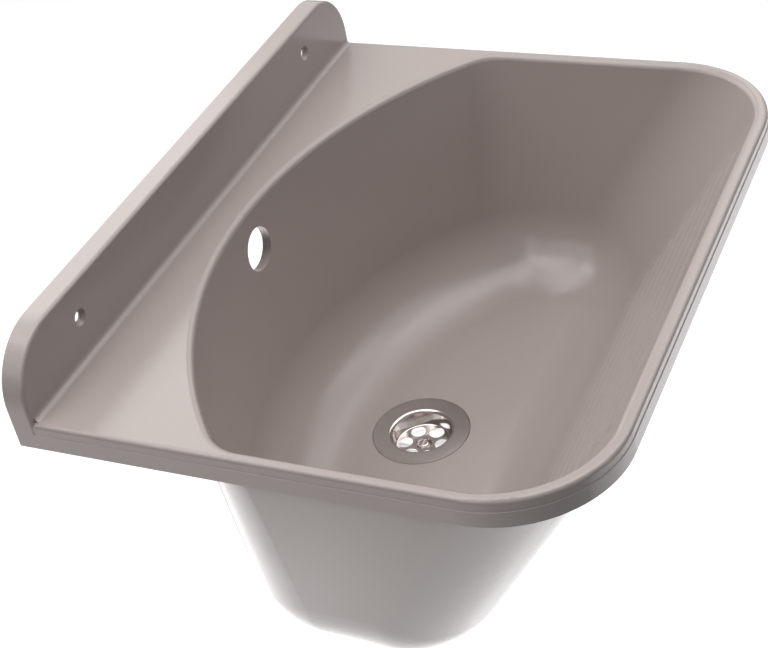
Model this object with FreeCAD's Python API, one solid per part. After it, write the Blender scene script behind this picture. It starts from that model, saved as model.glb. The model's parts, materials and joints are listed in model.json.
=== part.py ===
"""Wall-hung utility sink: one moulded basin with a screwed strainer waste.

Everything is drawn with z = 0 on the top of the rim, y = 0 on the wall and x along the wall.
A saved piece moves so that the origin lies midway between the two fixing holes, where they open behind the
splashback's wall.
"""
import FreeCAD, Part
import math
import os

Vec = FreeCAD.Vector

# Overall sizes, in millimetres and degrees
width = 500.0
depth = 386.0
splash_height = 55.0
splash_thickness = 16.0
splash_corner_radius = 45.0
skirt_height = 20.0
front_corner_radius = 82.0
rim_width = 9.0

# Walls of the moulding
bowl_wall = 7.0
ledge_wall = 7.0
skirt_wall = 7.0
splash_wall = 4.0
rib_wall = 3.0

# Rounded and stepped edges
lip_radius = 4.5
ledge_fillet = 4.5
rim_edge_radius = 3.0
splash_edge_radius = 2.5
band_height = 8.2
band_step = 0.5
band_bevel = 0.4

# Wall fixings, above the ledge
fixing_spacing = 350.0
fixing_height = 30.0
fixing_hole_diameter = 6.5
fixing_head_diameter = 12.0
fixing_room = 30.0

# Ribs under the ledge and behind the splashback
rib_count = 6
rib_spacing = 70.0
rib_height = 12.0

# Bowl
bowl_depth = 195.0
floor_length = 202.0
end_draft = 4.0
back_draft = 3.0
back_gap = 29.0
back_bow = 100.0
back_corner_radius = 35.0
floor_radius = 60.0
floor_corner_flat = 5.0

# Overflow hole in the back wall of the bowl
overflow_diameter = 34.0
overflow_drop = 35.0
overflow_clearance = 3.0

# Washboard on the front wall, measured down the slope
ridge_count = 8
ridge_pitch = 19.5
ridge_width = 13.0
ridge_rise = 1.2
ridge_length = 310.0
ridge_start = 22.0
ridge_root = 1.0

# Drain in the floor
drain_setback = 153.0
drain_hole_diameter = 54.0
drain_pad_diameter = 96.0
drain_pad_drop = 3.0

# Strainer
flange_diameter = 76.0
sheet = 1.0
dish_diameter = 47.0
dish_depth = 13.0
plate_diameter = 44.0
dish_lip_radius = 2.5
strainer_hole_count = 6
strainer_hole_diameter = 12.0
strainer_hole_circle = 30.0
strainer_hole_turn = 38.0
dimple_diameter = 13.0
dimple_depth = 2.0
dimple_slant = 1.6

# Seals
strainer_seal_thickness = 1.5
waste_seal_thickness = 3.0
seal_margin = 1.0

# Waste body
waste_flange_diameter = 82.0
waste_flange_thickness = 4.0
waste_cup_diameter = 56.0
waste_cup_depth = 12.0
waste_taper_depth = 9.0
waste_wall = 3.5
tail_diameter = 47.8
tail_length = 36.0
hub_diameter = 17.0
hub_length = 18.0
arm_count = 3
arm_wall = 3.0
arm_drop = 2.0
arm_height = 9.0

# Clamp screw and nut
screw_diameter = 5.0
screw_head_diameter = 9.0
screw_head_height = 2.6
screw_head_radius = 1.6
screw_slot_width = 1.2
screw_slot_depth = 1.0
screw_end_past_nut = 3.0
nut_across_flats = 8.0
nut_height = 5.0
nut_pocket_depth = 7.0

# Clearances between pieces, on the radius
recess_clearance = 0.5
screw_clearance = 0.4
thread_clearance = 0.05
nut_clearance = 0.15

# Two places closer than this are taken as one when edges are looked for
same_place = 0.001

# Places that follow from the sizes
half_width = width / 2
bowl_half_width = half_width - rim_width
bowl_back = -splash_thickness - back_gap
bowl_front = rim_width - depth
floor_z = -bowl_depth
drain = Vec(0, -drain_setback, 0)
recess_floor_z = floor_z - sheet - strainer_seal_thickness
underside_z = floor_z - bowl_wall
drain_pad_z = underside_z - drain_pad_drop
waste_top_z = drain_pad_z - waste_seal_thickness
plate_z = floor_z - dish_depth
dimple_z = plate_z - dimple_depth
hub_top_z = dimple_z - sheet
hub_end_z = hub_top_z - hub_length
nut_top_z = hub_end_z + nut_pocket_depth
tail_top_z = waste_top_z - waste_cup_depth - waste_taper_depth
tail_end_z = tail_top_z - tail_length


def sin(angle):
    return math.sin(math.radians(angle))


def cos(angle):
    return math.cos(math.radians(angle))


def tan(angle):
    return math.tan(math.radians(angle))


floor_back = bowl_back - bowl_depth * tan(back_draft)
floor_front = floor_back - floor_length
front_slope = math.degrees(math.atan2(floor_front - bowl_front, bowl_depth))


def save(shape, name):
    """Moves a piece into the frame of the wall fixings and writes it to its own file."""
    piece = shape.removeSplitter().Solids[0]
    piece.translate(Vec(0, splash_thickness - splash_wall, -fixing_height))
    piece.exportStep(os.path.join("parts", name + ".step"))
    print(name, "valid", piece.isValid(), "solids", len(shape.Solids), "volume", round(piece.Volume))


def line(start, end):
    return Part.LineSegment(start, end).toShape()


def arc(centre, radius, start, end):
    """A level arc between two angles, in degrees."""
    points = []
    for angle in (start, (start + end) / 2, end):
        points.append(centre + Vec(radius * cos(angle), radius * sin(angle), 0))
    return Part.Arc(*points).toShape()


def joined(edges):
    """A closed wire through edges in order, with straight lines across the gaps."""
    path = []
    for index, edge in enumerate(edges):
        path.append(edge)
        here = edge.valueAt(edge.LastParameter)
        following = edges[(index + 1) % len(edges)]
        there = following.valueAt(following.FirstParameter)
        if here.distanceToPoint(there) > same_place:
            path.append(line(here, there))
    return Part.Wire(path)


def prism(points, direction):
    """A straight solid on a polygon."""
    return Part.Face(Part.makePolygon(points + points[:1])).extrude(direction)


def revolved(outline):
    """Turns a closed outline of (radius, z) points about the drain's axis."""
    face = Part.Face(Part.makePolygon([Vec(radius, 0, z) for radius, z in outline + outline[:1]]))
    body = face.revolve(Vec(0, 0, 0), Vec(0, 0, 1), 360)
    body.translate(drain)
    return body


def drain_cylinder(diameter, top_z, end_z):
    return Part.makeCylinder(diameter / 2, top_z - end_z, drain + Vec(0, 0, end_z))


def circles_at(shape, radius, z):
    """The round edges of a turned piece at one radius and height."""
    found = []
    for edge in shape.Edges:
        if not isinstance(edge.Curve, Part.Circle):
            continue
        if abs(edge.Curve.Radius - radius) < same_place and abs(edge.Curve.Center.z - z) < same_place:
            found.append(edge)
    return found


def rim_block(inset, back_inset, top_z, end_z):
    """A slab on the rim's plan: square at the wall, with round corners in front."""
    half = half_width - inset
    front = inset - depth
    radius = front_corner_radius - inset
    right = arc(Vec(half - radius, front + radius, end_z), radius, 0, -90)
    left = arc(Vec(radius - half, front + radius, end_z), radius, -90, -180)
    back = line(Vec(-half, -back_inset, end_z), Vec(half, -back_inset, end_z))
    return Part.Face(joined([right, left, back])).extrude(Vec(0, 0, top_z - end_z))


def outer_edges(block, z):
    """The edges at one height of a slab, without the one at the wall."""
    found = []
    for edge in block.Edges:
        box = edge.BoundBox
        if abs(box.ZMin - z) < same_place and abs(box.ZMax - z) < same_place and box.YMin < -same_place:
            found.append(edge)
    return found


def bowl_outline(drop, z, grow):
    """The plan of the bowl at a drop below the rim, moved outward by a wall.

    The back arc meets its corners at the same angle at every height, so the walls run smoothly together.
    """
    share = drop / bowl_depth
    floor_corner = floor_radius + floor_corner_flat
    rim_front_corner = front_corner_radius - rim_width
    half = bowl_half_width - drop * tan(end_draft) + grow
    back = bowl_back + share * (floor_back - bowl_back) + grow
    front = bowl_front + share * (floor_front - bowl_front) - grow / cos(front_slope)
    back_corner = back_corner_radius + share * (floor_corner - back_corner_radius) + grow
    front_corner = rim_front_corner + share * (floor_corner - rim_front_corner) + grow
    rim_radius = (bowl_half_width ** 2 + back_bow ** 2) / (2 * back_bow)
    reach = (bowl_half_width - back_corner_radius) / (rim_radius - back_corner_radius)
    turn = math.degrees(math.asin(reach))
    radius = (half - back_corner * (1 - sin(turn))) / sin(turn)
    back_centre = Vec(0, back - radius, z)
    corner_y = back_centre.y + (radius - back_corner) * cos(turn)
    corner_x = half - back_corner
    front_x = half - front_corner
    front_y = front + front_corner
    arcs = [
        arc(Vec(corner_x, corner_y, z), back_corner, 0, 90 - turn),
        arc(back_centre, radius, 90 - turn, 90 + turn),
        arc(Vec(-corner_x, corner_y, z), back_corner, 90 + turn, 180),
        arc(Vec(-front_x, front_y, z), front_corner, 180, 270),
        arc(Vec(front_x, front_y, z), front_corner, 270, 360),
    ]
    return joined(arcs)


def bowl_body(top_drop, grow):
    """The bowl as a solid with rounded lower edges: its inside, or its outside when grown by the wall."""
    end_z = floor_z - grow
    outlines = [bowl_outline(top_drop, -top_drop, grow), bowl_outline(bowl_depth, end_z, grow)]
    body = Part.makeLoft(outlines, True, True)
    low_edges = [edge for edge in body.Edges if edge.BoundBox.ZMax < end_z + same_place]
    return body.makeFillet(floor_radius + grow, low_edges)


def splash_outline(inset, end_z, y):
    """The splashback seen from the front, with two round upper corners."""
    half = half_width - inset
    top = splash_height - inset
    radius = splash_corner_radius - inset
    corners = []
    for side, angles in ((1, (0, 90)), (-1, (90, 180))):
        centre = Vec(side * (half - radius), top - radius, 0)
        corners.append(arc(centre, radius, *angles))
    foot = line(Vec(-half, end_z, 0), Vec(half, end_z, 0))
    outline = joined(corners + [foot])
    outline.rotate(Vec(0, 0, 0), Vec(1, 0, 0), 90)
    outline.translate(Vec(0, y, 0))
    return Part.Face(outline)


def skirt_hollow():
    """The room inside the skirt, under the ledge."""
    return rim_block(skirt_wall, skirt_wall, -ledge_wall, -skirt_height)


def splashback():
    """A shallow box, open to the wall, with a rounded front edge and a foot that closes the rim's step."""
    foot = -band_height - band_bevel
    shell = splash_outline(0, foot, 0).extrude(Vec(0, -splash_thickness, 0))
    front_edges = []
    for edge in shell.Edges:
        box = edge.BoundBox
        if box.YMax < same_place - splash_thickness and box.ZMax > same_place + foot:
            front_edges.append(edge)
    shell = shell.makeFillet(splash_edge_radius, front_edges)
    pocket = splash_outline(splash_wall, 0, 0).extrude(Vec(0, splash_wall - splash_thickness, 0))
    return shell.cut([pocket, skirt_hollow()])


def ledge_strip():
    """The hollow rounding where the ledge runs up into the splashback."""
    front = -splash_thickness
    buried = ledge_fillet / 2
    half = half_width - max(band_step + rim_edge_radius, splash_edge_radius)
    low = Vec(-half, front - ledge_fillet, 0)
    high = Vec(-half, front, ledge_fillet)
    centre = Vec(-half, front - ledge_fillet, ledge_fillet)
    middle = centre + Vec(0, ledge_fillet * sin(45), -ledge_fillet * cos(45))
    hollow = Part.Arc(low, middle, high).toShape()
    corners = [high, Vec(-half, front + buried, ledge_fillet), Vec(-half, front + buried, -buried),
               Vec(-half, front - ledge_fillet, -buried), low]
    edges = [hollow]
    for start, end in zip(corners, corners[1:]):
        edges.append(line(start, end))
    return Part.Face(Part.Wire(edges)).extrude(Vec(2 * half, 0, 0))


def rib_places():
    return [(index - (rib_count - 1) / 2) * rib_spacing for index in range(rib_count)]


def stiffening_ribs():
    """Upright ribs across the hollow under the ledge, and behind the splashback away from its holes."""
    ribs = []
    buried = splash_wall / 2
    for x in rib_places():
        left = x - rib_wall / 2
        under = Vec(left, -depth / 2, -ledge_wall - rib_height)
        ribs.append(Part.makeBox(rib_wall, depth / 2, rib_height, under))
        if min(abs(x - place.x) for place in fixing_places()) < fixing_room:
            continue
        behind = Vec(left, buried - splash_thickness, 0)
        ribs.append(Part.makeBox(rib_wall, splash_thickness - buried, splash_height - buried, behind))
    return ribs


def fixing_places():
    return [Vec(side * fixing_spacing / 2, 0, fixing_height) for side in (-1, 1)]


def fixing_holes():
    """Countersunk holes through the splashback."""
    hole = fixing_hole_diameter / 2
    head = fixing_head_diameter / 2
    tools = []
    for place in fixing_places():
        tools.append(Part.makeCylinder(hole, splash_thickness, place, Vec(0, -1, 0)))
        mouth = place + Vec(0, -splash_thickness, 0)
        tools.append(Part.makeCone(head, hole, head - hole, mouth, Vec(0, 1, 0)))
    return tools


def overflow_cuts():
    """The overflow hole, and a notch in the rear skirt that leaves its way free."""
    reach = bowl_wall + overflow_diameter / 2
    start = Vec(0, bowl_back - reach, -overflow_drop)
    hole = Part.makeCylinder(overflow_diameter / 2, 2 * reach, start, Vec(0, 1, 0))
    half = overflow_diameter / 2 + overflow_clearance
    corner = Vec(-half, -skirt_wall, half - overflow_drop - skirt_height)
    notch = Part.makeBox(2 * half, skirt_wall, skirt_height, corner)
    return [hole, notch]


def washboard():
    """Shallow rounded ridges across the front wall, with rounded ends."""
    down = Vec(0, sin(front_slope), -cos(front_slope))
    out = Vec(0, cos(front_slope), sin(front_slope))
    along = Vec(1, 0, 0)
    radius = (ridge_width ** 2 / 4 + ridge_rise ** 2) / (2 * ridge_rise)
    left = Vec(-ridge_length / 2, bowl_front, 0)
    barrel_length = ridge_length - ridge_width
    ridges = []
    for index in range(ridge_count):
        place = left + down * (ridge_start + index * ridge_pitch)
        start = place + along * (ridge_width / 2) - out * (radius - ridge_rise)
        barrel = Part.makeCylinder(radius, barrel_length, start, along)
        ends = [Part.makeSphere(radius, start), Part.makeSphere(radius, start + along * barrel_length)]
        upper = place - down * ridge_width - out * ridge_root
        lower = upper + down * (2 * ridge_width)
        rise = out * (2 * ridge_root + ridge_rise)
        slab = prism([upper, lower, lower + rise, upper + rise], along * ridge_length)
        ridges.append(barrel.fuse(ends).common(slab))
    return ridges


def basin():
    lower = rim_block(0, 0, -band_height, -skirt_height)
    lower = lower.makeChamfer(band_bevel, outer_edges(lower, -band_height))
    upper = rim_block(band_step, 0, 0, -band_height)
    upper = upper.makeFillet(rim_edge_radius, outer_edges(upper, 0))
    body = lower.fuse(upper).cut(skirt_hollow())
    additions = [splashback(), ledge_strip(), bowl_body(ledge_wall / 2, bowl_wall)]
    additions.append(drain_cylinder(drain_pad_diameter, floor_z - bowl_wall / 2, drain_pad_z))
    body = body.fuse(additions + stiffening_ribs())
    body = body.cut(bowl_body(0, 0))
    rim_line = bowl_outline(0, 0, 0)
    lip_edges = []
    for edge in body.Edges:
        middle = edge.valueAt((edge.FirstParameter + edge.LastParameter) / 2)
        gap = rim_line.distToShape(Part.Vertex(middle))[0]
        if abs(middle.z) < same_place and gap < same_place:
            lip_edges.append(edge)
    body = body.makeFillet(lip_radius, lip_edges)
    recess_diameter = flange_diameter + 2 * recess_clearance
    recess = drain_cylinder(recess_diameter, floor_z + floor_radius, recess_floor_z)
    outlet = drain_cylinder(drain_hole_diameter, floor_z, drain_pad_z)
    body = body.cut([recess, outlet] + fixing_holes() + overflow_cuts())
    return body.fuse(washboard())


def strainer():
    """A pressed dish with a flat flange, a ring of holes and a dimple for the screw."""
    flange = flange_diameter / 2
    dish = dish_diameter / 2
    plate = plate_diameter / 2
    dimple = dimple_diameter / 2
    hole = screw_diameter / 2 + screw_clearance
    dimple_floor = dimple - dimple_slant
    plate_under_z = plate_z - sheet
    dimple_under_z = dimple_z - sheet
    upper = [
        (flange, floor_z), (dish, floor_z), (plate, plate_z),
        (dimple, plate_z), (dimple_floor, dimple_z), (hole, dimple_z),
    ]
    lower = [
        (hole, dimple_under_z), (dimple_floor, dimple_under_z), (dimple, plate_under_z),
        (plate + sheet, plate_under_z), (dish + sheet, floor_z - sheet), (flange, floor_z - sheet),
    ]
    body = revolved(upper + lower)
    body = body.makeFillet(dish_lip_radius, circles_at(body, dish, floor_z))
    bends = circles_at(body, plate, plate_z) + circles_at(body, plate + sheet, plate_under_z)
    body = body.makeFillet(sheet, bends)
    holes = []
    for index in range(strainer_hole_count):
        angle = strainer_hole_turn + 360 * index / strainer_hole_count
        outward = Vec(cos(angle), sin(angle), 0)
        place = drain + outward * (strainer_hole_circle / 2) + Vec(0, 0, plate_under_z - sheet)
        holes.append(Part.makeCylinder(strainer_hole_diameter / 2, 3 * sheet, place))
    return body.cut(holes)


def flat_ring(outer_diameter, inner_diameter, top_z, end_z):
    return drain_cylinder(outer_diameter, top_z, end_z).cut(drain_cylinder(inner_diameter, top_z, end_z))


def strainer_seal():
    outer = flange_diameter - 2 * seal_margin
    inner = drain_hole_diameter + 2 * seal_margin
    return flat_ring(outer, inner, floor_z - sheet, recess_floor_z)


def waste_seal():
    outer = waste_flange_diameter - 2 * seal_margin
    inner = waste_cup_diameter + 2 * seal_margin
    return flat_ring(outer, inner, drain_pad_z, waste_top_z)


def hexagon(across_flats, top_z, end_z):
    corner = across_flats / 2 / cos(30)
    points = []
    for angle in range(0, 360, 60):
        points.append(drain + Vec(corner * cos(angle), corner * sin(angle), end_z))
    return prism(points, Vec(0, 0, top_z - end_z))


def waste_body():
    """A flanged cup that tapers to the tail, with a hub on three arms for the screw."""
    cup = waste_cup_diameter / 2
    tail = tail_diameter / 2
    flange = waste_flange_diameter / 2
    cup_end_z = waste_top_z - waste_cup_depth
    flange_end_z = waste_top_z - waste_flange_thickness
    inside = [
        (cup, waste_top_z), (cup, cup_end_z),
        (tail - waste_wall, tail_top_z), (tail - waste_wall, tail_end_z),
    ]
    outside = [
        (tail, tail_end_z), (tail, tail_top_z), (cup + waste_wall, cup_end_z),
        (cup + waste_wall, flange_end_z), (flange, flange_end_z), (flange, waste_top_z),
    ]
    shell = revolved(inside + outside)
    spider = [drain_cylinder(hub_diameter, hub_top_z, hub_end_z)]
    arm_z = hub_top_z - arm_drop - arm_height
    for index in range(arm_count):
        arm = Part.makeBox(cup + waste_wall / 4, arm_wall, arm_height, Vec(0, -arm_wall / 2, arm_z))
        arm.rotate(Vec(0, 0, 0), Vec(0, 0, 1), 90 + 360 * index / arm_count)
        arm.translate(drain)
        spider.append(arm)
    body = shell.fuse(spider)
    screw_hole = drain_cylinder(screw_diameter + 2 * screw_clearance, hub_top_z, hub_end_z)
    nut_pocket = hexagon(nut_across_flats + 2 * nut_clearance, nut_top_z, hub_end_z)
    return body.cut([screw_hole, nut_pocket])


def clamp_screw():
    """A round-headed slotted screw, plain where its thread is."""
    radius = screw_head_diameter / 2
    head_top_z = dimple_z + screw_head_height
    head = drain_cylinder(screw_head_diameter, head_top_z, dimple_z)
    head = head.makeFillet(screw_head_radius, circles_at(head, radius, head_top_z))
    slot_corner = drain + Vec(-radius, -screw_slot_width / 2, head_top_z - screw_slot_depth)
    slot = Part.makeBox(screw_head_diameter, screw_slot_width, screw_slot_depth, slot_corner)
    shank = drain_cylinder(screw_diameter, dimple_z, nut_top_z - nut_height - screw_end_past_nut)
    return head.cut(slot).fuse(shank)


def clamp_nut():
    nut_end_z = nut_top_z - nut_height
    nut = hexagon(nut_across_flats, nut_top_z, nut_end_z)
    return nut.cut(drain_cylinder(screw_diameter + 2 * thread_clearance, nut_top_z, nut_end_z))


os.makedirs("parts", exist_ok=True)
save(basin(), "basin")
save(strainer(), "strainer")
save(strainer_seal(), "strainer_seal")
save(waste_body(), "waste_body")
save(waste_seal(), "waste_seal")
save(clamp_screw(), "clamp_screw")
save(clamp_nut(), "clamp_nut")
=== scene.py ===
"""A wall-hung utility sink of warm grey plastic with a steel strainer waste, in a white studio."""
import json
import math

import bpy
from mathutils import Matrix, Vector

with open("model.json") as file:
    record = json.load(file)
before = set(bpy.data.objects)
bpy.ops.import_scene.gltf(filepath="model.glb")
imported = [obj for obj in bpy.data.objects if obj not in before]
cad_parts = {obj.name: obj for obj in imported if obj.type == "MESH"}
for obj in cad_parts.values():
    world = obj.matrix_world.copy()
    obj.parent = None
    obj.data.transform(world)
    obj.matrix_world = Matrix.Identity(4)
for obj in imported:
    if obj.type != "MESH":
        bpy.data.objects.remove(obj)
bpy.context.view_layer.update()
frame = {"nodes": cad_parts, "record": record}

scene = bpy.context.scene

# the photograph's frame, in pixels
image_width = 768
image_height = 648

# the camera, worked out from the photograph's edges and circles
camera_azimuth = math.radians(-60.074)
camera_elevation = math.radians(37.2305)
camera_roll = math.radians(-11.4256)
camera_distance = 1.18228
camera_target = Vector((-0.0376, -0.14833, -0.10341))
focal_pixels = 1654.14
centre_pixel = (386.64, 339.27)
sensor_width = 36.0

# the usual detail of a noise, and the range in which most of its values lie
noise_detail = 2.0
noise_low = 0.3
noise_high = 0.7

# the studio, with lengths in metres and the floor as far below the sink as in use
studio_centre = Vector((0.0, -0.178, -0.1))
floor_level = -0.88
floor_size = 40.0
floor_colour = (0.5, 0.5, 0.5, 1.0)
softbox_distance = 2.1
ceiling_level = 1.8
ceiling_strip_length = 3.2
ceiling_strip_width = 0.5
ceiling_turn = math.radians(135.0)
light_table_height = 0.02
light_table_size = 0.9

# what is seen of the room, which is white behind the sink and grey far off and on the camera's side
white = (1.0, 1.0, 1.0, 1.0)
grey_share = 0.45
# the floor goes from white to grey with the distance from a place
floor_glow = 0.81
white_place = Vector((0.5, 1.1, floor_level))
white_reach = 1.8
grey_reach = 2.8
# the sky goes from grey to white as a direction leans towards a side
sky_glow = 1.0
white_side = Vector((0.65, 0.76, 0.0))
white_lean = 0.6
grey_lean = 0.0


def material(name):
    """A new node material, and its tree and main shader."""
    made = bpy.data.materials.new(name)
    made.use_nodes = True
    tree = made.node_tree
    return made, tree, tree.nodes["Principled BSDF"]


def node(tree, kind, **values):
    """A new node with its properties set."""
    made = tree.nodes.new(kind)
    for key, value in values.items():
        setattr(made, key, value)
    return made


def noise(tree, scale, detail):
    """Cloudy noise from 0 to 1 with a size of about 1 / scale metres."""
    where = node(tree, "ShaderNodeTexCoord").outputs["Object"]
    made = node(tree, "ShaderNodeTexNoise")
    made.inputs["Scale"].default_value = scale
    made.inputs["Detail"].default_value = detail
    tree.links.new(where, made.inputs["Vector"])
    return made.outputs["Fac"]


def spread(tree, value, low, high):
    """The middle part of a noise, stretched from low to high."""
    made = node(tree, "ShaderNodeMapRange")
    made.inputs["From Min"].default_value = noise_low
    made.inputs["From Max"].default_value = noise_high
    made.inputs["To Min"].default_value = low
    made.inputs["To Max"].default_value = high
    tree.links.new(value, made.inputs["Value"])
    return made.outputs["Result"]


def shades(tree, shader, colour, share, scale, detail=noise_detail):
    """Clouds of a darker and a lighter shade of one colour."""
    clouds = spread(tree, noise(tree, scale, detail), 0.0, 1.0)
    mix = node(tree, "ShaderNodeMix", data_type="RGBA")
    mix.inputs["A"].default_value = (*[part * (1.0 - share) for part in colour], 1.0)
    mix.inputs["B"].default_value = (*[part * (1.0 + share) for part in colour], 1.0)
    tree.links.new(clouds, mix.inputs["Factor"])
    tree.links.new(mix.outputs["Result"], shader.inputs["Base Color"])


def gloss(tree, shader, low, high, scale, detail=noise_detail):
    """A roughness that wanders between two values."""
    tree.links.new(spread(tree, noise(tree, scale, detail), low, high), shader.inputs["Roughness"])


def grain(tree, shader, depth, scale):
    """A fine uneven grain with a depth in metres."""
    bump = node(tree, "ShaderNodeBump")
    bump.inputs["Distance"].default_value = depth
    tree.links.new(noise(tree, scale, noise_detail), bump.inputs["Height"])
    tree.links.new(bump.outputs["Normal"], shader.inputs["Normal"])


def basin_plastic():
    """Smooth moulded plastic with a satin gloss."""
    made, tree, shader = material("basin_plastic_look")
    shades(tree, shader, colour=(0.345, 0.296, 0.281), share=0.008, scale=260.0, detail=4.0)
    gloss(tree, shader, low=0.21, high=0.23, scale=400.0, detail=3.0)
    grain(tree, shader, depth=0.000003, scale=900.0)
    return made


def stainless():
    """Pressed and polished stainless steel, with a warm tint in its colour that is a painted reflection of
    the plastic around it.
    """
    made, tree, shader = material("stainless_look")
    # steel grey with a warm tint added, which is a painted reflection of the warm grey plastic
    shades(tree, shader, colour=(0.61, 0.56, 0.54), share=0.02, scale=120.0)
    gloss(tree, shader, low=0.15, high=0.17, scale=1500.0)
    shader.inputs["Metallic"].default_value = 1.0
    return made


def seal_rubber():
    """Black rubber."""
    made, tree, shader = material("seal_rubber_look")
    shades(tree, shader, colour=(0.03, 0.03, 0.03), share=0.15, scale=150.0)
    gloss(tree, shader, low=0.55, high=0.7, scale=600.0)
    grain(tree, shader, depth=0.00002, scale=1500.0)
    return made


def waste_plastic():
    """Milky moulded plastic that lets light through."""
    made, tree, shader = material("waste_plastic_look")
    shades(tree, shader, colour=(0.97, 0.97, 0.965), share=0.01, scale=40.0)
    gloss(tree, shader, low=0.35, high=0.42, scale=300.0)
    grain(tree, shader, depth=0.00001, scale=1200.0)
    shader.inputs["Transmission Weight"].default_value = 0.9
    return made


def nut_brass():
    """Turned brass."""
    made, tree, shader = material("nut_brass_look")
    shades(tree, shader, colour=(0.7, 0.53, 0.24), share=0.04, scale=300.0)
    gloss(tree, shader, low=0.22, high=0.32, scale=1500.0)
    shader.inputs["Metallic"].default_value = 1.0
    return made


looks = {
    "basin_plastic": basin_plastic(),
    "stainless": stainless(),
    "seal_rubber": seal_rubber(),
    "waste_plastic": waste_plastic(),
    "nut_brass": nut_brass(),
}
for subpart in frame["record"]["subparts"]:
    surface = frame["nodes"][subpart["node"]].data
    surface.materials.clear()
    surface.materials.append(looks[subpart["material_slot"]])


def seen(tree):
    """1 for a ray from the camera, a mirror or glass, and 0 for light on its way to the object."""
    path = node(tree, "ShaderNodeLightPath")
    total = path.outputs["Is Camera Ray"]
    for other in ("Is Glossy Ray", "Is Transmission Ray"):
        larger = node(tree, "ShaderNodeMath", operation="MAXIMUM")
        tree.links.new(total, larger.inputs[0])
        tree.links.new(path.outputs[other], larger.inputs[1])
        total = larger.outputs[0]
    return total


def room(tree, measure, where, mark, grey_at, white_at, strength):
    """What is seen of the room, which goes from grey to white as a measure of the place changes."""
    found = node(tree, "ShaderNodeVectorMath", operation=measure)
    found.inputs[1].default_value = mark
    tree.links.new(where, found.inputs[0])
    share = node(tree, "ShaderNodeMapRange", interpolation_type="SMOOTHSTEP")
    share.inputs["From Min"].default_value = grey_at
    share.inputs["From Max"].default_value = white_at
    share.inputs["To Min"].default_value = strength * grey_share
    share.inputs["To Max"].default_value = strength
    tree.links.new(found.outputs["Value"], share.inputs["Value"])
    shown = node(tree, "ShaderNodeMath", operation="MULTIPLY")
    tree.links.new(seen(tree), shown.inputs[0])
    tree.links.new(share.outputs["Result"], shown.inputs[1])
    return shown.outputs[0]


def stage_floor():
    """The pale floor under the sink, which is hung at its real height."""
    made, tree, shader = material("floor_look")
    shader.inputs["Base Color"].default_value = floor_colour
    shader.inputs["Roughness"].default_value = 1.0
    shader.inputs["Specular IOR Level"].default_value = 0.0
    shader.inputs["Emission Color"].default_value = white
    where = node(tree, "ShaderNodeNewGeometry").outputs["Position"]
    glow = room(tree, "DISTANCE", where, white_place, grey_reach, white_reach, floor_glow)
    tree.links.new(glow, shader.inputs["Emission Strength"])
    half = floor_size / 2.0
    corners = [(-half, -half, floor_level), (half, -half, floor_level), (half, half, floor_level),
               (-half, half, floor_level)]
    mesh = bpy.data.meshes.new("floor")
    mesh.from_pydata(corners, [], [(0, 1, 2, 3)])
    mesh.materials.append(made)
    floor = bpy.data.objects.new("floor", mesh)
    scene.collection.objects.link(floor)


def sky():
    """The walls of the room, which give no light of their own."""
    world = bpy.data.worlds.new("sky")
    world.use_nodes = True
    tree = world.node_tree
    background = tree.nodes["Background"]
    background.inputs["Color"].default_value = white
    where = node(tree, "ShaderNodeTexCoord").outputs["Generated"]
    glow = room(tree, "DOT_PRODUCT", where, white_side, grey_lean, white_lean, sky_glow)
    tree.links.new(glow, background.inputs["Strength"])
    scene.world = world


def lamp(name, place, turn, width, height, brightness):
    """A rectangle of even light, as bright at any size."""
    data = bpy.data.lights.new(name, "AREA")
    data.shape = "RECTANGLE"
    data.size = width
    data.size_y = height
    data.energy = math.pi * width * height * brightness
    made = bpy.data.objects.new(name, data)
    made.location = place
    made.rotation_euler = turn
    made.visible_camera = False
    scene.collection.objects.link(made)


def ceiling_strip(name, offset, brightness):
    """A long lamp that faces down, at an offset across its length from the middle of the studio."""
    across = Vector((math.sin(ceiling_turn), -math.cos(ceiling_turn), 0.0))
    place = studio_centre + across * offset
    place.z = ceiling_level
    lamp(name, place, (0.0, 0.0, ceiling_turn), ceiling_strip_length, ceiling_strip_width, brightness)


def softbox(name, azimuth, elevation, width, height, brightness):
    """A lamp that faces the sink. The azimuth is counted from +X towards +Y."""
    turn = math.radians(azimuth)
    rise = math.radians(elevation)
    towards = Vector((math.cos(turn) * math.cos(rise), math.sin(turn) * math.cos(rise), math.sin(rise)))
    place = studio_centre + towards * softbox_distance
    lamp(name, place, towards.to_track_quat("Z", "Y").to_euler(), width, height, brightness)


def light_table(name, x, y, brightness):
    """A lamp just above the floor that faces up, at an offset from the middle of the studio."""
    place = studio_centre + Vector((x, y, 0.0))
    place.z = floor_level + light_table_height
    lamp(name, place, (math.pi, 0.0, 0.0), light_table_size, light_table_size, brightness)


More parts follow.
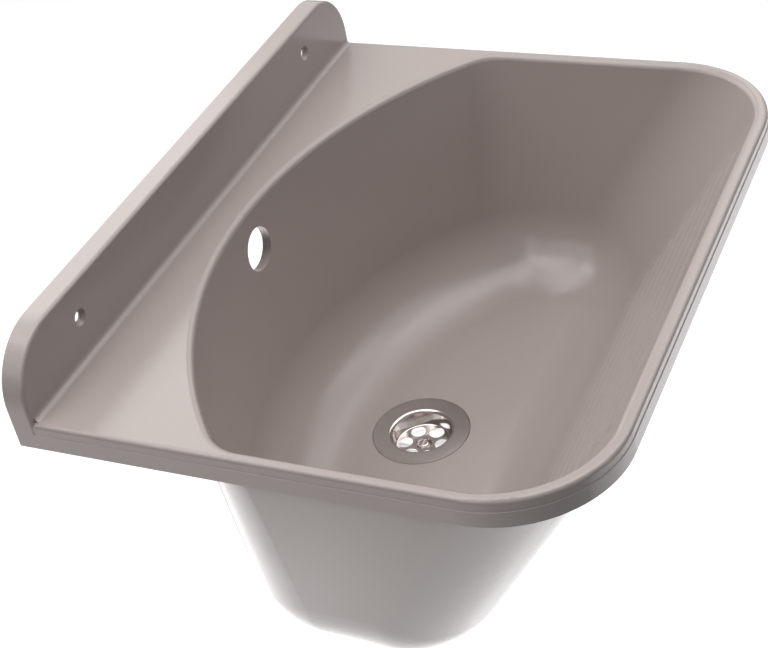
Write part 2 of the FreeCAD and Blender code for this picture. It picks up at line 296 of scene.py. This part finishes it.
def studio_lamps():
    """All lamps. The two on the left share a middle, which gives the highlight in the bowl a soft edge."""
    ceiling_strip("ceiling_front", offset=-0.5, brightness=2.63)
    ceiling_strip("ceiling_middle", offset=0.0, brightness=3.37)
    ceiling_strip("ceiling_back", offset=0.5, brightness=2.04)
    ceiling_strip("ceiling_far_back", offset=1.0, brightness=1.18)
    softbox("left", azimuth=145.0, elevation=38.0, width=2.6, height=1.7, brightness=1.2)
    softbox("left_inner", azimuth=145.0, elevation=38.0, width=1.6, height=0.9, brightness=2.0)
    softbox("back", azimuth=68.0, elevation=35.0, width=2.2, height=1.0, brightness=1.9)
    softbox("right", azimuth=-22.0, elevation=35.0, width=2.2, height=1.0, brightness=1.17)
    softbox("front_right", azimuth=-60.0, elevation=38.0, width=1.2, height=1.2, brightness=1.52)
    light_table("table_back", x=-0.3, y=0.79, brightness=1.88)
    light_table("table_middle", x=-0.3, y=-0.11, brightness=1.0)
    light_table("table_right", x=0.6, y=-0.11, brightness=0.57)
    light_table("table_far_right", x=1.2, y=-0.81, brightness=0.7)
    light_table("table_front", x=0.3, y=-1.11, brightness=0.85)


def photograph_camera():
    """The camera that took the photograph."""
    flat = math.cos(camera_elevation)
    rise = math.sin(camera_elevation)
    back = Vector((math.sin(camera_azimuth) * flat, -math.cos(camera_azimuth) * flat, rise))
    level = Vector((math.cos(camera_azimuth), math.sin(camera_azimuth), 0.0))
    upright = back.cross(level)
    right = level * math.cos(camera_roll) + upright * math.sin(camera_roll)
    up = upright * math.cos(camera_roll) - level * math.sin(camera_roll)
    data = bpy.data.cameras.new("camera")
    data.sensor_width = sensor_width
    data.lens = focal_pixels * sensor_width / image_width
    data.shift_x = (image_width / 2 - centre_pixel[0]) / image_width
    data.shift_y = (centre_pixel[1] - image_height / 2) / image_width
    camera = bpy.data.objects.new("camera", data)
    pose = Matrix((right, up, back)).transposed().to_4x4()
    pose.translation = camera_target + back * camera_distance
    camera.matrix_world = pose
    scene.collection.objects.link(camera)
    scene.camera = camera


stage_floor()
studio_lamps()
sky()
photograph_camera()

scene.view_settings.view_transform = "Standard"
